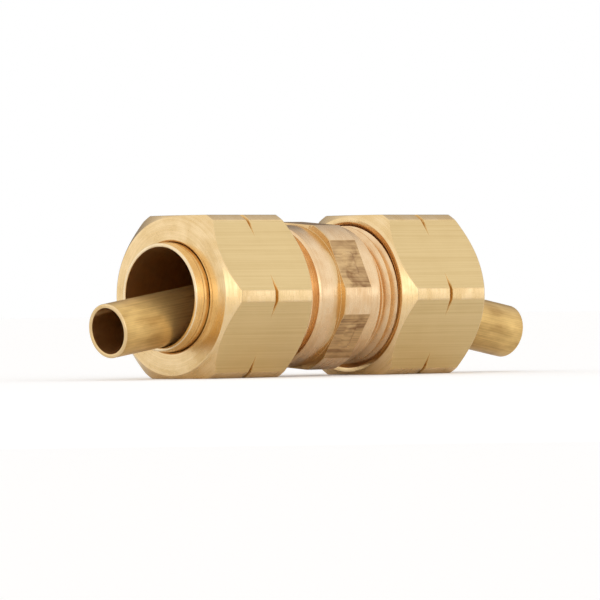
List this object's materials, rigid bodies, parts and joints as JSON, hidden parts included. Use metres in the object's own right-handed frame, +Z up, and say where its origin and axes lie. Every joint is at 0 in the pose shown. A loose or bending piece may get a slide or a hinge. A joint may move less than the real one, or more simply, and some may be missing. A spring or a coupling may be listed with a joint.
{
  "type": "hose union fitting",
  "caption": "Straight brass hose union: threaded hex body with a hexagonal nut, a thin sleeve and a loose flanged tube insert on each end.",
  "frame": {"origin": "on the bore axis, at the middle of the body's hexagon", "axes": "+X along the bore towards the right nut, +Z up, nut flats level at top and bottom"},
  "size_m": [0.112, 0.0355, 0.0318],
  "materials": {
    "body_brass": "turned and forged brass, slightly pink and browner on the hex",
    "nut_brass": "drawn hex bar with fine lengthwise lines, turned ends",
    "sleeve_brass": "fine turned",
    "insert_brass": "drawn tube, slightly tarnished"
  },
  "bodies": {
    "body": {"body": "body_brass"},
    "left_sleeve": {"left_sleeve": "sleeve_brass"},
    "left_nut": {"left_nut": "nut_brass"},
    "left_insert": {"left_insert": "insert_brass"},
    "right_sleeve": {"right_sleeve": "sleeve_brass"},
    "right_nut": {"right_nut": "nut_brass"},
    "right_insert": {"right_insert": "insert_brass"}
  },
  "joints": [
    {"name": "left_sleeve_slide", "type": "slide", "parent": "body", "child": "left_sleeve", "axis": [-1, 0, 0], "range_m": [-0.00264, 0.00807]},
    {"name": "left_nut_turn", "type": "hinge", "parent": "left_sleeve", "child": "left_nut", "pos_m": [-0.02323, 0, 0], "axis": [-1, 0, 0], "range_deg": [-448, 1373]},
    {"name": "left_insert_slide", "type": "slide", "parent": "left_sleeve", "child": "left_insert", "axis": [-1, 0, 0], "range_m": [0, 0.02]},
    {"name": "right_sleeve_slide", "type": "slide", "parent": "body", "child": "right_sleeve", "axis": [1, 0, 0], "range_m": [-0.00122, 0.00948]},
    {"name": "right_nut_turn", "type": "hinge", "parent": "right_sleeve", "child": "right_nut", "pos_m": [0.02182, 0, 0], "axis": [1, 0, 0], "range_deg": [-208, 1613]},
    {"name": "right_insert_slide", "type": "slide", "parent": "right_sleeve", "child": "right_insert", "axis": [1, 0, 0], "range_m": [0, 0.015]}
  ],
  "couplings": [
    {"joint": "left_sleeve_slide", "follows": "left_nut_turn", "m_per_rad": 0.00033688},
    {"joint": "right_sleeve_slide", "follows": "right_nut_turn", "m_per_rad": 0.00033688}
  ]
}
